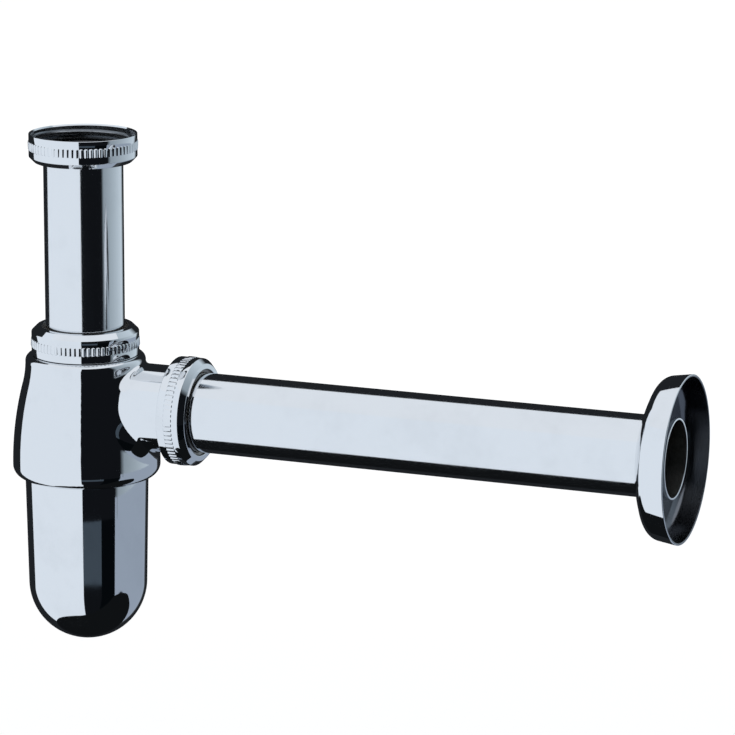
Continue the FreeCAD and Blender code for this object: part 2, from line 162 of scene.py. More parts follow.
finishes = {
    "chrome": surface(
        "polished_chrome",
        (0.79, 0.805, 0.825),
        (0.755, 0.77, 0.79),
        0.028,
        0.085,
        1.0,
        0.000012,
        {"Smear size": 55.0, "Hairline size": 1100.0, "Wave size": 70.0},
    ),
    "drawn": surface(
        "chrome_on_drawn_tube",
        (0.79, 0.805, 0.825),
        (0.755, 0.77, 0.79),
        0.085,
        0.13,
        1.0,
        0.000012,
        {"Smear size": 45.0, "Hairline size": 1000.0, "Wave size": 60.0},
    ),
    "turned": surface(
        "thin_chrome_in_the_thread",
        (0.40, 0.415, 0.435),
        (0.30, 0.31, 0.325),
        0.17,
        0.30,
        1.0,
        0.00002,
        {"Smear size": 160.0, "Hairline size": 900.0, "Wave size": 300.0},
    ),
    "bore": surface(
        "thin_plate_in_the_bore",
        (0.30, 0.29, 0.275),
        (0.20, 0.18, 0.155),
        0.36,
        0.62,
        1.0,
        0.00006,
        {"Smear size": 140.0, "Hairline size": 700.0, "Wave size": 500.0},
    ),
}


def arc_between(here, there):
    """Points from one outline step up to the next. A step (r, z) goes straight on, and a step
    (r, z, radius, side) bends with its centre on that side of the way."""
    if len(here) == 2:
        return [tuple(here)]
    start, finish, radius = Vector(here[:2]), Vector(there[:2]), here[2]
    way = finish - start
    side = Vector((-way.y, way.x)).normalized() * (1 if here[3] == "left" else -1)
    centre = (start + finish) / 2 + side * math.sqrt(max(radius**2 - way.length_squared / 4, 0))
    first = math.atan2(start.y - centre.y, start.x - centre.x)
    last = math.atan2(finish.y - centre.y, finish.x - centre.x)
    sweep = (last - first + math.pi) % (2 * math.pi) - math.pi
    count = max(3, round(abs(sweep) / math.radians(3)))
    return [tuple(start)] + [
        (
            centre.x + radius * math.cos(first + sweep * k / count),
            centre.y + radius * math.sin(first + sweep * k / count),
        )
        for k in range(1, count)
    ]


def turned_mesh(name, *stretches, around=256):
    """A closed mesh turned about Z from millimetres. Each stretch is a finish and the outline steps
    that carry it, and the last step goes back to the first."""
    steps = [(step, slot) for slot, (_, path) in enumerate(stretches) for step in path]
    points = []
    for (here, slot), (there, _) in zip(steps, steps[1:] + steps[:1]):
        points += [(r, z, slot) for r, z in arc_between(here, there)]
    shape = bmesh.new()
    rings = []
    for r, z, _ in points:
        turns = [2 * math.pi * k / around for k in range(around if r > 1e-6 else 1)]
        spots = [(r * MM * math.cos(t), r * MM * math.sin(t), z * MM) for t in turns]
        rings.append([shape.verts.new(spot) for spot in spots])
    for (_, _, slot), low, high in zip(points, rings, rings[1:] + rings[:1]):
        if len(low) == len(high) == 1:
            continue
        for k in range(around):
            after = (k + 1) % around
            corners = [low[k % len(low)], low[after % len(low)]]
            corners += [high[after % len(high)], high[k % len(high)]]
            shape.faces.new(list(dict.fromkeys(corners))).material_index = slot
    bmesh.ops.recalc_face_normals(shape, faces=shape.faces)
    mesh = bpy.data.meshes.new(name)
    shape.to_mesh(mesh)
    shape.free()
    for finish, _ in stretches:
        mesh.materials.append(finishes[finish])
    return mesh


def grown_mesh(tree, sizes):
    """The plain mesh that a tree of geometry nodes makes from its named sizes."""
    seed = bpy.data.objects.new("seed", bpy.data.meshes.new("seed"))
    bpy.context.scene.collection.objects.link(seed)
    growth = seed.modifiers.new("growth", "NODES")
    growth.node_group = tree
    for item in tree.interface.items_tree:
        if item.item_type == "SOCKET" and item.in_out == "INPUT" and item.name in sizes:
            growth[item.identifier] = sizes[item.name]
    evaluated = seed.evaluated_get(bpy.context.evaluated_depsgraph_get())
    mesh = bpy.data.meshes.new_from_object(evaluated)
    seed.modifiers.remove(growth)
    bpy.data.objects.remove(seed)
    return mesh


def piece(name, body, node, parts, place=Matrix(), crease=32):
    """One finished object from meshes: placed in the row frame, smooth but for its real edges."""
    shape = bmesh.new()
    materials = []
    for mesh in parts:
        slots = []
        for material in mesh.materials:
            if material not in materials:
                materials.append(material)
            slots.append(materials.index(material))
        held = len(shape.faces)
        shape.from_mesh(mesh)
        shape.faces.ensure_lookup_table()
        for face in shape.faces[held:]:
            face.material_index = slots[face.material_index]
    shape.transform(place)
    joined = bpy.data.meshes.new(name)
    shape.to_mesh(joined)
    shape.free()
    for material in materials:
        joined.materials.append(material)
    joined.polygons.foreach_set("use_smooth", [True] * len(joined.polygons))
    joined.set_sharp_from_angle(angle=math.radians(crease))
    made = bpy.data.objects.new(name, joined)
    bpy.context.scene.collection.objects.link(made)
    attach(made, body)
    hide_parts(node)


# Knurl: the straight rounded ribs of the grip band, spaced evenly round the nut
knurl, taken, given = new_tree(
    "knurl",
    "GeometryNodeTree",
    {
        "Count": 70,
        "Floor radius": 0.02,
        "Height": 0.0005,
        "Width": 0.001,
        "Length": 0.004,
        "End": 0.0005,
        "Middle": 0.0,
    },
    {"Geometry": "NodeSocketGeometry"},
)
bar = add_node(knurl, "GeometryNodeMeshUVSphere", {"Segments": 24, "Rings": 8, "Radius": 1.0})
where = add_node(knurl, "GeometryNodeInputPosition").outputs[0]
across = add_node(knurl, "ShaderNodeSeparateXYZ", {0: where})
half_width = sum_of(knurl, "MULTIPLY", taken.outputs["Width"], 0.5)
end_off = sum_of(knurl, "MULTIPLY", taken.outputs["End"], -1.0)
straight = sum_of(knurl, "MULTIPLY_ADD", taken.outputs["Length"], 0.5, end_off)
tip = sum_of(knurl, "MULTIPLY", sum_of(knurl, "SIGN", across.outputs["Z"]), straight)
swell = sum_of(
    knurl,
    "MULTIPLY",
    sum_of(knurl, "POWER", sum_of(knurl, "ABSOLUTE", across.outputs["X"]), 4.0),
    sum_of(knurl, "SIGN", across.outputs["X"]),
)
rib_place = add_node(
    knurl,
    "ShaderNodeCombineXYZ",
    {
        "X": sum_of(knurl, "MULTIPLY", swell, taken.outputs["Height"]),
        "Y": sum_of(knurl, "MULTIPLY", across.outputs["Y"], half_width),
        "Z": sum_of(knurl, "MULTIPLY_ADD", across.outputs["Z"], taken.outputs["End"], tip),
    },
)
rib = add_node(
    knurl,
    "GeometryNodeSetPosition",
    {"Geometry": bar.outputs["Mesh"], "Position": rib_place.outputs[0]},
)
rib_ring = add_node(
    knurl,
    "GeometryNodeMeshCircle",
    {"Vertices": taken.outputs["Count"], "Radius": taken.outputs["Floor radius"]},
)
rib_spot = add_node(knurl, "ShaderNodeSeparateXYZ", {0: where})
facing = add_node(
    knurl,
    "ShaderNodeCombineXYZ",
    {"Z": sum_of(knurl, "ARCTAN2", rib_spot.outputs["Y"], rib_spot.outputs["X"])},
)
outward = add_node(knurl, "FunctionNodeEulerToRotation", {0: facing.outputs[0]})
ribs = add_node(
    knurl,
    "GeometryNodeInstanceOnPoints",
    {"Points": rib_ring.outputs[0], "Instance": rib.outputs[0], "Rotation": outward.outputs[0]},
)
lift = add_node(knurl, "ShaderNodeCombineXYZ", {"Z": taken.outputs["Middle"]})
raised = add_node(
    knurl, "GeometryNodeTransform", {"Geometry": ribs.outputs[0], "Translation": lift.outputs[0]}
)
real_ribs = add_node(knurl, "GeometryNodeRealizeInstances", {0: raised.outputs[0]})
plated = add_node(
    knurl,
    "GeometryNodeSetMaterial",
    {"Geometry": real_ribs.outputs[0], "Material": finishes["chrome"]},
)
knurl.links.new(plated.outputs[0], given.inputs[0])

# Thread: one right-hand ridge with a flat crest, which winds up from its start and runs out at both
# ends. The strip's five rows are the two feet and the two edges of the crest, with the first foot
# again as the last row, merged with it where they meet
thread, taken, given = new_tree(
    "thread",
    "GeometryNodeTree",
    {
        "Foot radius": 0.02,
        "Crest radius": 0.021,
        "Pitch": 0.002,
        "Turns": 3.0,
        "Start": 0.0,
        "Foot width": 0.0018,
        "Crest width": 0.0006,
    },
    {"Geometry": "NodeSocketGeometry"},
)
strip = add_node(
    thread,
    "GeometryNodeMeshGrid",
    {
        "Size X": 1.0,
        "Size Y": 1.0,
        "Vertices Y": 5,
        "Vertices X": sum_of(thread, "MULTIPLY_ADD", taken.outputs["Turns"], 72.0, 1.0),
    },
)
where = add_node(thread, "GeometryNodeInputPosition").outputs[0]
spot = add_node(thread, "ShaderNodeSeparateXYZ", {0: where})
share = sum_of(thread, "ADD", spot.outputs["X"], 0.5)
along = sum_of(thread, "MULTIPLY", share, taken.outputs["Turns"])
left_over = sum_of(thread, "SUBTRACT", taken.outputs["Turns"], along)
from_end = sum_of(thread, "MULTIPLY", sum_of(thread, "MINIMUM", along, left_over), 4.0)
full = sum_of(thread, "SMOOTH_MIN", from_end, 1.0, 0.0)
crest_gap = sum_of(thread, "ABSOLUTE", sum_of(thread, "ADD", spot.outputs["Y"], 0.125))
on_crest = sum_of(thread, "LESS_THAN", crest_gap, 0.2)
upper_gap = sum_of(thread, "ABSOLUTE", sum_of(thread, "SUBTRACT", spot.outputs["Y"], 0.125))
upper = sum_of(thread, "LESS_THAN", upper_gap, 0.2)
side = sum_of(thread, "MULTIPLY_ADD", upper, 2.0, -1.0)
narrowing = sum_of(thread, "SUBTRACT", taken.outputs["Crest width"], taken.outputs["Foot width"])
breadth = sum_of(thread, "MULTIPLY_ADD", on_crest, narrowing, taken.outputs["Foot width"])
half_full = sum_of(thread, "MULTIPLY", full, 0.5)
off_centre = sum_of(thread, "MULTIPLY", sum_of(thread, "MULTIPLY", side, breadth), half_full)
rise = sum_of(thread, "SUBTRACT", taken.outputs["Crest radius"], taken.outputs["Foot radius"])
raised = sum_of(thread, "MULTIPLY", on_crest, full)
radius = sum_of(thread, "MULTIPLY_ADD", raised, rise, taken.outputs["Foot radius"])
winding = sum_of(thread, "MULTIPLY", along, 2 * math.pi)
from_start = sum_of(thread, "ADD", off_centre, taken.outputs["Start"])
height = sum_of(thread, "MULTIPLY_ADD", along, taken.outputs["Pitch"], from_start)
wound = add_node(
    thread,
    "ShaderNodeCombineXYZ",
    {
        "X": sum_of(thread, "MULTIPLY", radius, sum_of(thread, "COSINE", winding)),
        "Y": sum_of(thread, "MULTIPLY", radius, sum_of(thread, "SINE", winding)),
        "Z": height,
    },
)
ridge = add_node(
    thread,
    "GeometryNodeSetPosition",
    {"Geometry": strip.outputs["Mesh"], "Position": wound.outputs[0]},
)
closed = add_node(
    thread, "GeometryNodeMergeByDistance", {"Geometry": ridge.outputs[0], "Distance": 0.002 * MM}
)
real_ridge = add_node(thread, "GeometryNodeRealizeInstances", {0: closed.outputs[0]})
plated = add_node(
    thread,
    "GeometryNodeSetMaterial",
    {"Geometry": real_ridge.outputs[0], "Material": finishes["turned"]},
)
thread.links.new(plated.outputs[0], given.inputs[0])


def thread_mesh(foot, crest, pitch, start, end, foot_width, crest_width):
    """A thread ridge in millimetres, closed and facing outwards."""
    mesh = grown_mesh(
        thread,
        {
            "Foot radius": foot * MM,
            "Crest radius": crest * MM,
            "Pitch": pitch * MM,
            "Turns": (end - start) / pitch,
            "Start": start * MM,
            "Foot width": foot_width * MM,
            "Crest width": crest_width * MM,
        },
    )
    shape = bmesh.new()
    shape.from_mesh(mesh)
    bmesh.ops.dissolve_degenerate(shape, dist=1e-7, edges=shape.edges)
    bmesh.ops.recalc_face_normals(shape, faces=shape.faces)
    shape.to_mesh(mesh)
    shape.free()
    return mesh


THREAD_PITCH = 2.309  # eleven turns to the inch
NUT_RADIUS, BAND_RADIUS, NUT_HEIGHT = 21.7, 21.6, 11.4
RIB_COUNT, RIB_FLOOR, RIB_HEIGHT, RIB_LENGTH, RIB_MIDDLE = 70, 21.55, 0.45, 3.8, 4.8


def nut_meshes(name, root, crest, foot_width, crest_width):
    """A round nut that stands on its open rim: the turned blank, its ribs and its thread."""
    blank = turned_mesh(
        name,
        (
            "chrome",
            [
                (root, 0.6),
                (21.42, 0.0, 0.28, "left"),
                (NUT_RADIUS, 0.28),
                (NUT_RADIUS, 2.7),
                (BAND_RADIUS, 3.0),
                (BAND_RADIUS, 6.6),
                (NUT_RADIUS, 6.9),
                (NUT_RADIUS, 8.95, 0.6, "left"),
                (21.52, 9.38),
                (19.68, 11.22, 0.6, "left"),
                (19.25, NUT_HEIGHT),
                (17.65, NUT_HEIGHT, 0.2, "left"),
            ],
        ),
        # The recess round the tube in the nut's top face is real, but its dark bore finish is painted
        # shade: it paints a dark ring beside the tube.
        ("bore", [(17.45, 11.2), (17.3, 10.4), (16.3, 10.2)]),
        ("turned", [(16.3, 9.9), (19.476, 9.9), (root - 1.2, 8.7), (root, 8.4)]),
    )
    band = grown_mesh(
        knurl,
        {
            "Count": RIB_COUNT,
            "Floor radius": RIB_FLOOR * MM,
            "Height": RIB_HEIGHT * MM,
            "Width": 1.948 * MM,
            "Length": RIB_LENGTH * MM,
            "End": 0.5 * MM,
            "Middle": RIB_MIDDLE * MM,
        },
    )
    inside = thread_mesh(root + 0.1, crest, THREAD_PITCH, 1.5, 8.2, foot_width, crest_width)
    return [blank, band, inside]


NUT_MOUTH = 6.4  # height of the open rim over the washer's upper face
piece(
    "inlet_union_nut_turned",
    "inlet_nut",
    "inlet_union_nut",
    nut_meshes("inlet_nut_blank", 20.955, 19.476, 2.0, 0.5),
    Matrix.Translation((0, 0, NUT_MOUTH * MM)) @ Matrix.Rotation(math.pi, 4, "X"),
)

# Inlet washer
# A flat ring of black rubber with softly rounded edges, punched from sheet. It lies on the tube's
# collar and seals against the end of the basin waste.

finishes["rubber"] = surface(
    "black_sealing_rubber",
    (0.022, 0.022, 0.024),
    (0.045, 0.044, 0.043),
    0.55,
    0.78,
    0.0,
    0.00005,
    {"Smear size": 180.0, "Hairline size": 1500.0, "Wave size": 2200.0},
    **{"Specular IOR Level": 0.35},
)


def ring_mesh(name, finish, inner, outer, low, high, edge):
    """A flat ring with rounded edges."""
    return turned_mesh(
        name,
        (
            finish,
            [
                (inner, low + edge, edge, "left"),
                (inner + edge, low),
                (outer - edge, low, edge, "left"),
                (outer, low + edge),
                (outer, high - edge, edge, "left"),
                (outer - edge, high),
                (inner + edge, high, edge, "left"),
                (inner, high - edge),
            ],
        ),
        around=128,
    )


piece(
    "inlet_washer_rounded",
    "inlet",
    "inlet_washer",
    [ring_mesh("washer", "rubber", 15.0, 19.2, -2.0, 0.0, 0.35)],
)

# Inlet tube
# A thin drawn brass tube, polished and plated, with a collar rolled out at its top for the washer.
# It slides in the body's neck to set the height and dips into the cup below the water level.

piece(
    "inlet_tube_drawn",
    "inlet",
    "inlet_tube",
    [
        turned_mesh(
            "dip_tube",
            (
                "drawn",
                [
                    (15.4, -168.8),
                    (15.8, -168.8, 0.2, "left"),
                    (16.0, -168.6),
                    (16.0, -3.6, 0.2, "right"),
                    (16.2, -3.4),
                    (18.7, -3.4, 0.3, "left"),
                    (19.0, -3.1),
                    (19.0, -2.3, 0.3, "left"),
                    (18.7, -2.0),
                    (15.7, -2.0, 0.5, "left"),
                ],
            ),
            ("bore", [(15.2, -2.5), (15.2, -168.6, 0.2, "left")]),
        )
    ],
)

# Neck joint of the body
# A second knurled nut presses a nylon slip ring on a rubber wedge ring, which grips the inlet tube
# in the body's neck. The slip ring lets the nut turn without dragging the rubber.

finishes["nylon"] = surface(
    "white_nylon",
    (0.82, 0.81, 0.77),
    (0.74, 0.72, 0.66),
    0.34,
    0.55,
    0.0,
    0.00003,
    {"Smear size": 120.0, "Hairline size": 1200.0, "Wave size": 900.0},
    **{"Subsurface Weight": 0.12, "Subsurface Scale": 0.002},
)


def wedge_mesh(name):
    """The rubber wedge ring of a compression joint, thin end down."""
    return turned_mesh(
        name,
        (
            "rubber",
            [
                (16.05, 4.1, 0.25, "left"),
                (16.3, 3.85),
                (16.6, 3.85, 0.25, "left"),
                (16.86, 4.03),
                (18.55, 7.42, 0.2, "left"),
                (18.6, 7.6),
                (18.6, 8.3, 0.3, "left"),
                (18.3, 8.6),
                (16.35, 8.6, 0.3, "left"),
                (16.05, 8.3),
            ],
        ),
        around=128,
    )


TOP_NUT_RISE = 20.2  # height of the nut's open rim over the branch axis
neck = Matrix.Translation((0, 0, (AXIS_DROP + TOP_NUT_RISE) * MM))
piece(
    "top_cone_seal_moulded",
    "top_seal",
    "top_cone_seal",
    [wedge_mesh("wedge")],
    neck,
)
piece(
    "top_slip_ring_moulded",
    "top_ring",
    "top_slip_ring",
    [ring_mesh("slip_ring", "nylon", 16.3, 19.2, 8.65, 9.85, 0.2)],
    neck,
)
piece(
    "body_top_nut_turned",
    "top_nut",
    "body_top_nut",
    nut_meshes("top_nut_blank", 21.005, 20.45, 1.8, 0.9),
    neck,
)

# Trap body
# One brass casting, machined, polished and plated: a bell that widens down to a rounded skirt, with
# a threaded neck on top and a side branch that runs into it through a soft hollow corner.

# The bell's side is two bends that meet at its waist: a hollow flare above and a round belly below
SHOULDER_RADIUS, SHOULDER_HEIGHT = 24.3, 17.4
SKIRT_RADIUS, SKIRT_HEIGHT, SKIRT_FOOT = 29.9, -25.8, -30.3
WAIST_HEIGHT = 8.0
LEAN = 2 * math.atan((SKIRT_RADIUS - SHOULDER_RADIUS) / (SHOULDER_HEIGHT - SKIRT_HEIGHT))
FLARE = (SHOULDER_HEIGHT - WAIST_HEIGHT) / math.sin(LEAN)
BELLY = (WAIST_HEIGHT - SKIRT_HEIGHT) / math.sin(LEAN)
WAIST = SHOULDER_RADIUS + (SHOULDER_HEIGHT - WAIST_HEIGHT) * math.tan(LEAN / 2)
CASTING_WALL = 2.0
BRANCH_RADIUS = 17.6
BRANCH_STUB = 42.0
CORNER_HEIGHTS, CORNER_RADII = (6.0, 16.0), (5.0, 2.0)

bell_steps = [
    (0.0, 20.0),
    (21.7, 20.0, 2.6, "right"),
    (SHOULDER_RADIUS, SHOULDER_HEIGHT, FLARE, "left"),
    (WAIST, WAIST_HEIGHT, BELLY, "right"),
    (SKIRT_RADIUS, SKIRT_HEIGHT, 4.5, "right"),
    (25.4, SKIRT_FOOT),
    (0.0, SKIRT_FOOT),
]


def bell_distance(radius, height):
    """Signed distance of points from the bell's outline, inside negative."""
    here = numpy.stack([radius, height], axis=-1)
    nearest = numpy.full(len(here), numpy.inf)
    signed = numpy.zeros(len(here))
    for first, second in zip(bell_steps[:-1], bell_steps[1:]):
        start, finish = numpy.array(first[:2]), numpy.array(second[:2])
        way = finish - start
        length = numpy.linalg.norm(way)
        normal = numpy.array([-way[1], way[0]]) / length
        if len(first) == 2:
            share = numpy.clip((here - start) @ way / length**2, 0, 1)
            gap = numpy.linalg.norm(here - start - share[:, None] * way, axis=1)
            value = gap * numpy.sign((here - start) @ normal)
        else:
            bend = first[2]
            facing = 1 if first[3] == "left" else -1
            centre = (start + finish) / 2 + facing * normal * math.sqrt(bend**2 - length**2 / 4)
            spoke = here - centre
            reach = numpy.linalg.norm(spoke, axis=1)
            middle = (start + finish) / 2 - centre
            middle = middle / numpy.linalg.norm(middle)
            within = spoke @ middle > reach * math.sqrt(1 - (length / 2 / bend) ** 2)
            to_end = numpy.minimum(
                numpy.linalg.norm(here - start, axis=1), numpy.linalg.norm(here - finish, axis=1)
            )
            gap = numpy.where(within, abs(reach - bend), to_end)
            value = gap * numpy.sign(reach - bend) * -facing
        closer = gap < nearest - 1e-9
        nearest = numpy.where(closer, gap, nearest)
        signed = numpy.where(closer, value, signed)
    return signed


def body_distance(points):
    """Signed distance from the bell and its branch, joined through a hollow corner."""
    x, y, z = points.T
    bell = bell_distance(numpy.hypot(x, y), z)
    half = BRANCH_STUB / 2
    outside = numpy.stack([numpy.hypot(y, z) - BRANCH_RADIUS, abs(x - half) - half])
    beyond = numpy.linalg.norm(numpy.maximum(outside, 0), axis=0)
    branch = numpy.minimum(outside.max(axis=0), 0) + beyond
    corner = numpy.interp(z, CORNER_HEIGHTS, CORNER_RADII)
    hollow = numpy.hypot(numpy.maximum(corner - bell, 0), numpy.maximum(corner - branch, 0))
    return numpy.maximum(corner, numpy.minimum(bell, branch)) - hollow


# The rough body is the two solids run together in small even facets, and each corner is then moved
# on to the true surface
ALONG_X = Matrix.Rotation(math.pi / 2, 4, "Y")
ROUGH_RADIUS = BRANCH_RADIUS + 0.6
FACET_SIZE = 0.62
rough_shape = bmesh.new()
rough_shape.from_mesh(turned_mesh("bell", ("chrome", bell_steps)))
stub = bmesh.new()
stub.from_mesh(
    turned_mesh(
        "stub",
        (
            "chrome",
            [(0.0, 1.0), (ROUGH_RADIUS, 1.0), (ROUGH_RADIUS, BRANCH_STUB), (0.0, BRANCH_STUB)],
        ),
    )
)
stub.transform(ALONG_X)
stub_mesh = bpy.data.meshes.new("stub")
stub.to_mesh(stub_mesh)
stub.free()
rough_shape.from_mesh(stub_mesh)
rough_mesh = bpy.data.meshes.new("rough_body")
rough_shape.to_mesh(rough_mesh)
rough_shape.free()
rough = bpy.data.objects.new("rough_body", rough_mesh)
bpy.context.scene.collection.objects.link(rough)
facets = rough.modifiers.new("facets", "REMESH")
facets.mode = "VOXEL"
facets.voxel_size = FACET_SIZE * MM
evaluated = rough.evaluated_get(bpy.context.evaluated_depsgraph_get())
body_mesh = bpy.data.meshes.new_from_object(evaluated)
rough.modifiers.remove(facets)
bpy.data.objects.remove(rough)

spots = numpy.empty(len(body_mesh.vertices) * 3)
body_mesh.vertices.foreach_get("co", spots)
spots = spots.reshape(-1, 3) / MM
PROBE = 1e-4
for _ in range(8):
    here = body_distance(spots)
    probes = [body_distance(spots + step) - here for step in numpy.eye(3) * PROBE]
    slope = numpy.stack(probes, axis=-1) / PROBE
    spots -= slope * (here / numpy.maximum((slope**2).sum(axis=1), 0.25))[:, None]
body_mesh.vertices.foreach_set("co", (spots * MM).ravel())
body_mesh.materials.clear()
body_mesh.materials.append(finishes["chrome"])
body_mesh.update()

# The hollows: a chamber with a ledge for the cup's seal and a threaded skirt, and the branch bore
LEDGE_HEIGHT = -14.5
LEDGE_REACH = math.sqrt((BELLY - CASTING_WALL) ** 2 - (LEDGE_HEIGHT - SKIRT_HEIGHT) ** 2)
LEDGE_WALL = SKIRT_RADIUS - BELLY + LEDGE_REACH
waist_inside = (
    WAIST - CASTING_WALL * math.cos(LEAN),
    WAIST_HEIGHT - CASTING_WALL * math.sin(LEAN),
)
chamber = turned_mesh(
    "chamber",
    (
        "bore",
        [
            (0.0, 21.0),
            (16.4, 21.0),
            (16.4, SHOULDER_HEIGHT),
            (SHOULDER_RADIUS - CASTING_WALL, SHOULDER_HEIGHT, FLARE + CASTING_WALL, "left"),
            (*waist_inside, BELLY - CASTING_WALL, "right"),
            (LEDGE_WALL, LEDGE_HEIGHT),
            (22.4, LEDGE_HEIGHT),
            (22.4, -17.0),
            (24.95, -17.0),
            (24.95, -18.9),
            (25.6, -19.4),
            (25.6, -26.5),
            (25.15, -27.0),
            (25.15, -29.9, 0.4, "left"),
            (25.55, SKIRT_FOOT),
            (25.55, -31.0),
            (0.0, -31.0),
        ],
    ),
)
branch_bore = turned_mesh(
    "branch_bore", ("bore", [(0.0, 12.0), (16.4, 12.0), (16.4, 43.0), (0.0, 43.0)])
)
branch_bore.transform(ALONG_X)
whole = bpy.data.objects.new("whole_body", body_mesh)
bpy.context.scene.collection.objects.link(whole)
for tool_mesh in (chamber, branch_bore):
    tool = bpy.data.objects.new("tool", tool_mesh)
    bpy.context.scene.collection.objects.link(tool)
    cut = whole.modifiers.new("cut", "BOOLEAN")
    cut.operation = "DIFFERENCE"
    cut.solver = "EXACT"
    cut.material_mode = "TRANSFER"
    cut.object = tool
    evaluated = whole.evaluated_get(bpy.context.evaluated_depsgraph_get())
    machined = bpy.data.meshes.new_from_object(evaluated)
    whole.modifiers.remove(cut)
    whole.data = machined
    bpy.data.objects.remove(tool)
bpy.data.objects.remove(whole)

neck_end = turned_mesh(
    "neck_end",
    ("chrome", [(18.6, 27.5), (19.2, 27.5, 0.3, "right"), (19.5, 27.2), (19.5, 19.0)]),
    ("bore", [(16.4, 19.0), (16.4, 23.09)]),
)
branch_end = turned_mesh(
    "branch_end",
    (
        "chrome",
        [
            (18.6, 47.6),
            (19.2, 47.6, 0.3, "right"),
            (19.5, 47.3),
            (19.5, 41.1),
            (19.2, 40.8),
            (17.3, 40.8),
            (17.3, 36.0),
        ],
    ),
    ("bore", [(16.4, 36.0), (16.4, 43.19)]),
)
branch_end.transform(ALONG_X)
neck_thread = thread_mesh(19.4, 20.3, THREAD_PITCH, 21.1, 26.6, 1.9, 0.9)
branch_thread = thread_mesh(19.4, 20.3, THREAD_PITCH, 41.8, 46.7, 1.9, 0.9)
branch_thread.transform(ALONG_X)
CUP_PITCH = 2.0
skirt_thread = thread_mesh(25.7, 24.95, CUP_PITCH, -25.6, -20.0, 1.6, 0.7)
piece(
    "trap_body_cast",
    "trap",
    "trap_body",
    [machined, neck_end, branch_end, neck_thread, branch_thread, skirt_thread],
    Matrix.Translation((0, 0, AXIS_DROP * MM)),
)

# Cup and its seal
# A spun brass bottle with a round end and a rolled thread on its neck, plated like the body. It
# unscrews for cleaning, and a flat rubber ring on its rim seals it against the body's ledge.

RIM = -122.55  # height of the cup's rim under the washer's upper face
piece(
    "cup_seal_rounded",
    "cup_ring",
    "cup_seal",
    [ring_mesh("rim_ring", "rubber", 22.4, 24.8, RIM, RIM + 1.9, 0.25)],
)
# The side runs straight from its top edge on to the round end, and touches it at the taper's angle
SIDE_RADIUS, SIDE_TOP = 25.0, 10.4
END_RADIUS, END_CENTRE = 24.1, 56.0
END_INSIDE = 22.9
SPAN = math.hypot(SIDE_RADIUS, END_CENTRE - SIDE_TOP)
TAPER = math.acos(END_RADIUS / SPAN) - math.atan((END_CENTRE - SIDE_TOP) / SIDE_RADIUS)


def on_end(radius):
    """The point where the straight side meets the round end of a radius."""
    return radius * math.cos(TAPER), -END_CENTRE - radius * math.sin(TAPER)


cup_blank = turned_mesh(
    "cup_blank",
    (
        "chrome",
        [
            (22.6, 0.0),
            (23.85, 0.0, 0.3, "right"),
            (24.15, -0.3),
            (24.15, -9.6),
            (24.75, -10.15, 0.4, "right"),
            (SIDE_RADIUS, -10.5),
            (*on_end(END_RADIUS), END_RADIUS, "right"),
            (0.0, -END_CENTRE - END_RADIUS),
        ],
    ),
    (
        "bore",
        [
            (0.0, -END_CENTRE - END_INSIDE, END_INSIDE, "left"),
            on_end(END_INSIDE),
            (23.8, -11.6),
            (22.6, -10.4),
        ],
    ),
)
cup_thread = thread_mesh(24.05, 24.8, CUP_PITCH, -8.6, -1.2, 1.6, 0.7)
piece(
    "cup_spun",
    "cup",
    "cup",
    [cup_blank, cup_thread],
    Matrix.Translation((0, 0, RIM * MM)),
)

# Outlet joint
# The same nut, slip ring and wedge ring on the side branch hold the pipe to the wall.

JOINT_OUT = 40.3  # distance of the nut's open rim from the trap's axis
joint = Matrix.Translation((JOINT_OUT * MM, 0, AXIS_DROP * MM)) @ ALONG_X
piece(
    "outlet_cone_seal_moulded",
    "trap",
    "outlet_cone_seal",
    [wedge_mesh("outlet_wedge")],
    joint,
)
piece(
    "outlet_slip_ring_moulded",
    "outlet_ring",
    "outlet_slip_ring",
    [ring_mesh("outlet_ring", "nylon", 16.3, 19.2, 8.65, 9.85, 0.2)],
    joint,
)
piece(
    "outlet_nut_turned",
    "outlet_nut",
    "outlet_nut",
    nut_meshes("outlet_nut_blank", 21.005, 20.45, 1.8, 0.9),
    joint,
)

# Pipe to the wall
# A straight drawn tube, plated all along, with its last few millimetres drawn in a little so that it
# enters the waste socket in the wall. Its cut ends are deburred.

PIPE_START, SPIGOT_START, PIPE_END = 29.6, 241.2, 248.2
pipe_axis = Matrix.Translation((0, 0, AXIS_DROP * MM)) @ ALONG_X
piece(
    "outlet_pipe_drawn",
    "pipe",
    "outlet_pipe",
    [
        turned_mesh(
            "wall_pipe",
            (
                "drawn",
                [
                    (15.4, PIPE_START),
                    (15.8, PIPE_START, 0.2, "left"),
                    (16.0, PIPE_START + 0.2),
                    (16.0, SPIGOT_START - 0.2),
                    (15.8, SPIGOT_START),
                    (15.8, PIPE_END - 0.2, 0.2, "left"),
                    (15.6, PIPE_END),
                    (15.2, PIPE_END, 0.2, "left"),
                ],
            ),
            (
                "bore",
                [
                    (15.0, PIPE_END - 0.2),
                    (15.0, SPIGOT_START),
                    (15.2, SPIGOT_START - 0.2),
                    (15.2, PIPE_START + 0.2, 0.2, "left"),
                ],
            ),
        )
    ],
    pipe_axis,
)

# Wall rosette
# A domed cover spun from thin brass sheet and plated. It slides on the pipe, and its rim stands on
# the wall round the waste socket.

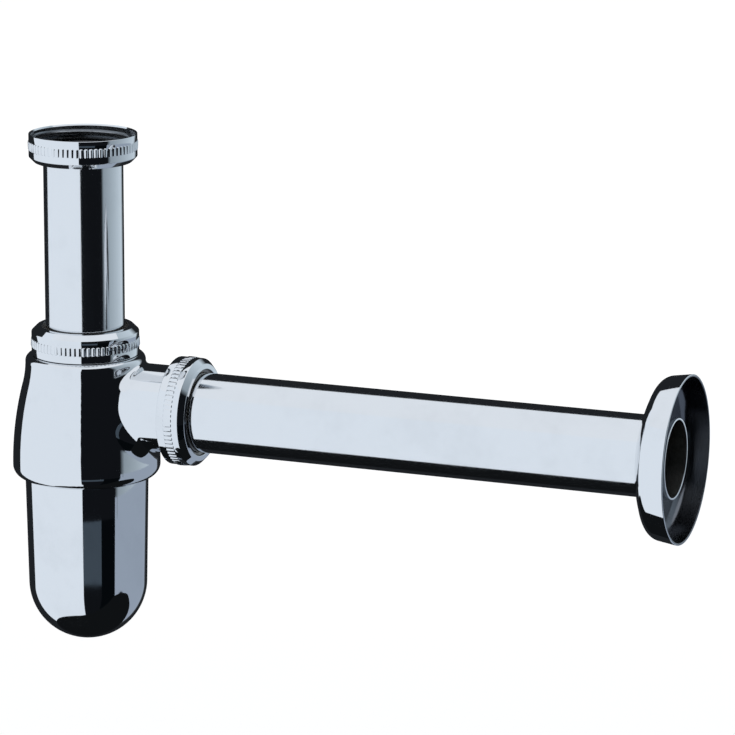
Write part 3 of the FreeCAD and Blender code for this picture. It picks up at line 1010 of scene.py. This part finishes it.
finishes["unpolished"] = surface(
    "unpolished_side_of_the_sheet",
    (0.17, 0.18, 0.20),
    (0.12, 0.125, 0.135),
    0.20,
    0.34,
    1.0,
    0.00003,
    {"Smear size": 70.0, "Hairline size": 800.0, "Wave size": 160.0},
)
WALL_FACE = 252.3  # distance of the wall from the trap's axis
RIM_RADIUS, HOLE_RADIUS, SHEET = 33.0, 16.1, 1.0
SKIRT_RISE, CORNER_BEND, CROWN_BEND = 7.3, 5.3, 71.0
SKIRT_LEAN, CROWN_LEAN = math.radians(8.6), math.radians(25.0)
knee = RIM_RADIUS - SKIRT_RISE * math.tan(SKIRT_LEAN)
corner_r = knee - CORNER_BEND * math.cos(SKIRT_LEAN)
corner_s = SKIRT_RISE - CORNER_BEND * math.sin(SKIRT_LEAN)
crown_r = corner_r - (CROWN_BEND - CORNER_BEND) * math.sin(CROWN_LEAN)
crown_s = corner_s - (CROWN_BEND - CORNER_BEND) * math.cos(CROWN_LEAN)


def sheet_side(depth):
    """Rim, skirt top, crown start and hole edge of the sheet's face at a depth in its metal."""
    corner, crown = CORNER_BEND - depth, CROWN_BEND - depth
    hole_s = crown_s + math.sqrt(crown**2 - (HOLE_RADIUS - crown_r) ** 2)
    return (
        (RIM_RADIUS - depth / math.cos(SKIRT_LEAN), 0.0),
        (corner_r + corner * math.cos(SKIRT_LEAN), corner_s + corner * math.sin(SKIRT_LEAN)),
        (corner_r + corner * math.sin(CROWN_LEAN), corner_s + corner * math.cos(CROWN_LEAN)),
        (HOLE_RADIUS, hole_s),
    )


outer, inner = sheet_side(0.0), sheet_side(SHEET)
piece(
    "wall_rosette_spun",
    "rosette",
    "wall_rosette",
    [
        turned_mesh(
            "rosette_sheet",
            (
                "chrome",
                [
                    (outer[0][0] - 0.35, 0.0, 0.3, "left"),
                    (outer[0][0] - 0.05, 0.3),
                    (*outer[1], CORNER_BEND, "left"),
                    (*outer[2], CROWN_BEND, "left"),
                    (HOLE_RADIUS + 0.25, outer[3][1] - 0.08, 0.25, "left"),
                    (HOLE_RADIUS, outer[3][1] - 0.33),
                    inner[3],
                ],
            ),
            (
                "unpolished",
                [
                    (*inner[3], CROWN_BEND - SHEET, "right"),
                    (*inner[2], CORNER_BEND - SHEET, "right"),
                    inner[1],
                    (inner[0][0] - 0.02, 0.3, 0.3, "left"),
                    (inner[0][0] + 0.28, 0.0),
                ],
            ),
            around=320,
        )
    ],
    Matrix.Translation((WALL_FACE * MM, 0, AXIS_DROP * MM)) @ ALONG_X.inverted(),
)

# Camera
# The viewpoint of the photograph: from the front, a little to the right and above. A long lens
# keeps the tubes' sides nearly parallel.

AZIMUTH, ELEVATION, ROLL = math.radians(20.78), math.radians(13.321), math.radians(0.299)
DISTANCE, AIM = 1.4833, Vector((0.121776, 0.0, -0.07888))
ahead = Vector((math.sin(AZIMUTH), -math.cos(AZIMUTH), 0.0))
back = ahead * math.cos(ELEVATION) + Vector((0.0, 0.0, math.sin(ELEVATION)))
level_right = Vector((math.cos(AZIMUTH), math.sin(AZIMUTH), 0.0))
level_up = back.cross(level_right)
right = level_right * math.cos(ROLL) + level_up * math.sin(ROLL)
up = level_up * math.cos(ROLL) - level_right * math.sin(ROLL)
eye = AIM + back * DISTANCE
lens = bpy.data.cameras.new("photo_camera")
lens.lens, lens.sensor_width = 185.16, 36.0
lens.clip_start, lens.clip_end = 0.05, 50.0
camera = bpy.data.objects.new("photo_camera", lens)
camera.matrix_world = Matrix(
    (
        (right.x, up.x, back.x, eye.x),
        (right.y, up.y, back.y, eye.y),
        (right.z, up.z, back.z, eye.z),
        (0.0, 0.0, 0.0, 1.0),
    )
)
bpy.context.scene.collection.objects.link(camera)
bpy.context.scene.camera = camera

# Floor
# A pale floor below the hanging trap. It shows white to the eye and in the metal where no shadow
# falls on it.

FLOOR, FLOOR_REACH = -0.9, 30


def seen_directly(tree):
    """1 for rays from the eye or from a mirror or clear surface, 0 for light bounced off dull ones."""
    rays = add_node(tree, "ShaderNodeLightPath")
    mirror = sum_of(tree, "MAXIMUM", rays.outputs["Is Camera Ray"], rays.outputs["Is Glossy Ray"])
    return sum_of(tree, "MAXIMUM", mirror, rays.outputs["Is Transmission Ray"])


ground = bpy.data.materials.new("pale_floor")
ground.use_nodes = True
tree = ground.node_tree
matt = tree.nodes["Principled BSDF"]
matt.inputs["Base Color"].default_value = (0.86, 0.87, 0.88, 1.0)
matt.inputs["Roughness"].default_value = 0.9
matt.inputs["Specular IOR Level"].default_value = 0.0
matt.inputs["Emission Color"].default_value = (1.0, 1.0, 1.0, 1.0)
on_floor = add_node(tree, "ShaderNodeTexCoord").outputs["Object"]
far_off = add_node(tree, "ShaderNodeVectorMath", {0: on_floor}, operation="LENGTH")
glow = add_node(
    tree,
    "ShaderNodeMapRange",
    {
        "Value": far_off.outputs["Value"],
        "From Min": 1.0,
        "From Max": 3.5,
        "To Min": 0.22,
        "To Max": 0.55,
    },
)
seen_glow = sum_of(tree, "MULTIPLY", seen_directly(tree), glow.outputs[0])
tree.links.new(seen_glow, matt.inputs["Emission Strength"])
floor_mesh = bpy.data.meshes.new("floor")
floor_corners = [
    (across * FLOOR_REACH, deep * FLOOR_REACH, FLOOR)
    for across, deep in ((-1, -1), (1, -1), (1, 1), (-1, 1))
]
floor_mesh.from_pydata(floor_corners, [], [(0, 1, 2, 3)])
floor_mesh.materials.append(ground)
floor = bpy.data.objects.new("floor", floor_mesh)
bpy.context.scene.collection.objects.link(floor)

# Studio
# Plain cards stand round the trap and show only in the metal: a pale one on the left, a black flag
# beside the camera, a greyish one on the right, a dark one behind, a pale ceiling and a black mat.

CARD_RADIUS, CEILING = 1.5, 1.7


def card_material(name, first, last=None):
    """A card that glows plainly, from its first colour at one end to its last at the other."""
    made = bpy.data.materials.new(name)
    made.use_nodes = True
    tree = made.node_tree
    tree.nodes.clear()
    glow = add_node(tree, "ShaderNodeEmission", {"Strength": 1.0})
    if last:
        share = add_node(tree, "ShaderNodeAttribute", attribute_name="share")
        blend = add_node(
            tree,
            "ShaderNodeMix",
            {"Factor": share.outputs["Fac"], 6: (*first, 1.0), 7: (*last, 1.0)},
            data_type="RGBA",
        )
        tree.links.new(blend.outputs[2], glow.inputs["Color"])
    else:
        glow.inputs["Color"].default_value = (*first, 1.0)
    end = add_node(tree, "ShaderNodeOutputMaterial")
    tree.links.new(glow.outputs[0], end.inputs["Surface"])
    return made


def card(name, corners, faces, material, shares=None):
    """A card that only mirror surfaces see."""
    mesh = bpy.data.meshes.new(name)
    mesh.from_pydata(corners, [], faces)
    mesh.materials.append(material)
    if shares:
        mesh.attributes.new("share", "FLOAT", "POINT").data.foreach_set("value", shares)
    made = bpy.data.objects.new(name, mesh)
    bpy.context.scene.collection.objects.link(made)
    made.visible_camera = made.visible_diffuse = made.visible_shadow = False
    made.visible_transmission = made.visible_volume_scatter = False


def round_card(name, start, end, profile, material):
    """A card bent round the trap, between two bearings in degrees to the right of the camera's. Its
    profile gives the distance and height of its edges and folds."""
    count = max(2, round((end - start) / 4)) + 1
    corners, shares = [], []
    for k in range(count):
        bearing = math.radians(start + (end - start) * k / (count - 1))
        way = ahead * math.cos(bearing) + level_right * math.sin(bearing)
        corners += [(way.x * distance, way.y * distance, height) for distance, height in profile]
        shares += [k / (count - 1)] * len(profile)
    fold = len(profile)
    faces = [
        (fold * k + f, fold * (k + 1) + f, fold * (k + 1) + f + 1, fold * k + f + 1)
        for k in range(count - 1)
        for f in range(fold - 1)
    ]
    card(name, corners, faces, material, shares)


BREAK, FLAG_BREAK = -0.48, -0.53  # heights where the upright cards end and their feet begin
FOLD = FLOOR + 0.2  # height at which a foot that lies on the floor has bent upright
BLACK, BLUE_GREY, DIM = (0.006, 0.007, 0.009), (0.30, 0.36, 0.41), (0.62, 0.72, 0.80)
SHADE, DARK = (0.05, 0.055, 0.06), (0.016, 0.018, 0.021)


def wall(low):
    """The upright part of a card, from a height to the ceiling."""
    return [(CARD_RADIUS, low), (CARD_RADIUS, CEILING)]


def foot(top):
    """The part of a card that lies on the floor and bends up to a height."""
    return [(0.02, FLOOR + 0.02), (1.2, FLOOR + 0.02), (CARD_RADIUS, FOLD), (CARD_RADIUS, top)]


whole_card = foot(BREAK) + wall(BREAK)[1:]
low_strip = [(CARD_RADIUS, FLAG_BREAK), (CARD_RADIUS, FOLD)]
for name, start, end, profile, *colours in (
    ("pale_card", -122, -5, whole_card, (0.84, 0.91, 0.99)),
    ("black_flag", -5, 57, wall(FLAG_BREAK), BLACK),
    ("flag_edge", 57, 64, wall(FLAG_BREAK), BLACK, BLUE_GREY),
    ("grey_strip", -5, 30, low_strip, (0.055, 0.074, 0.096)),
    ("black_foot", -5, 30, foot(FOLD), BLACK),
    ("black_corner", 30, 57, foot(FLAG_BREAK), (0.002, 0.003, 0.004)),
    ("blue_grey_card", 64, 140, wall(BREAK), BLUE_GREY, DIM),
    ("blue_grey_foot", 57, 146, foot(BREAK), (0.335, 0.395, 0.485)),
    ("dim_card", 140, 152, wall(BREAK), DIM, SHADE),
    ("dim_foot", 146, 152, foot(BREAK), SHADE),
    ("dark_card", 152, 238, whole_card, DARK),
):
    round_card(name, start, end, profile, card_material(name, *colours))


CARD_SIDES = 48


def circle_points(radius, height, shift=0.0, start=0.0):
    """Corners of a flat round card. With a shift, its right half stands off to make it oblong."""
    points = []
    for k in range(CARD_SIDES):
        turn = 2 * math.pi * (k + start) / CARD_SIDES
        x = radius * math.cos(turn) + (shift if math.cos(turn) > 0 else 0.0)
        points.append((x, radius * math.sin(turn), height))
    return points


MAT_HEIGHT, MAT_REACH, MAT_LENGTH = -0.285, 0.078, 0.24
flat_face = [tuple(range(CARD_SIDES))]
ceiling_points = circle_points(CARD_RADIUS, CEILING)
ceiling_glow = card_material("ceiling_card", (0.86, 0.91, 0.97))
card("ceiling_card", ceiling_points, flat_face, ceiling_glow)
mat_points = circle_points(MAT_REACH, MAT_HEIGHT, MAT_LENGTH, 0.5)
card("black_mat", mat_points, flat_face, card_material("black_mat", (0.006, 0.007, 0.008)))


LAMP_AIM = Vector((0.11, 0.0, -0.12))


def soft_lamp(name, spot, size, power, colour):
    """A large square lamp that faces the trap and doesn't show in the metal."""
    light = bpy.data.lights.new(name, "AREA")
    light.shape, light.size, light.energy, light.color = "SQUARE", size, power, colour
    made = bpy.data.objects.new(name, light)
    made.location = spot
    made.rotation_euler = (Vector(spot) - LAMP_AIM).to_track_quat("Z", "Y").to_euler()
    made.visible_glossy = made.visible_camera = False
    bpy.context.scene.collection.objects.link(made)


soft_lamp("left_lamp", (-1.1, -1.3, 1.2), 1.4, 16.0, (1.0, 0.985, 0.96))
soft_lamp("right_lamp", (1.7, -0.9, 0.9), 1.2, 9.0, (0.95, 0.975, 1.0))
soft_lamp("top_lamp", (0.1, 0.5, 1.7), 1.6, 14.0, (1.0, 1.0, 1.0))

world = bpy.data.worlds.new("studio")
world.use_nodes = True
tree = world.node_tree
sky = tree.nodes["Background"]
sky.inputs["Color"].default_value = (1.0, 1.0, 1.0, 1.0)
level = add_node(
    tree, "ShaderNodeMapRange", {"Value": seen_directly(tree), "To Min": 0.55, "To Max": 1.0}
)
tree.links.new(level.outputs[0], sky.inputs["Strength"])
bpy.context.scene.world = world
bpy.context.scene.view_settings.view_transform = "Standard"
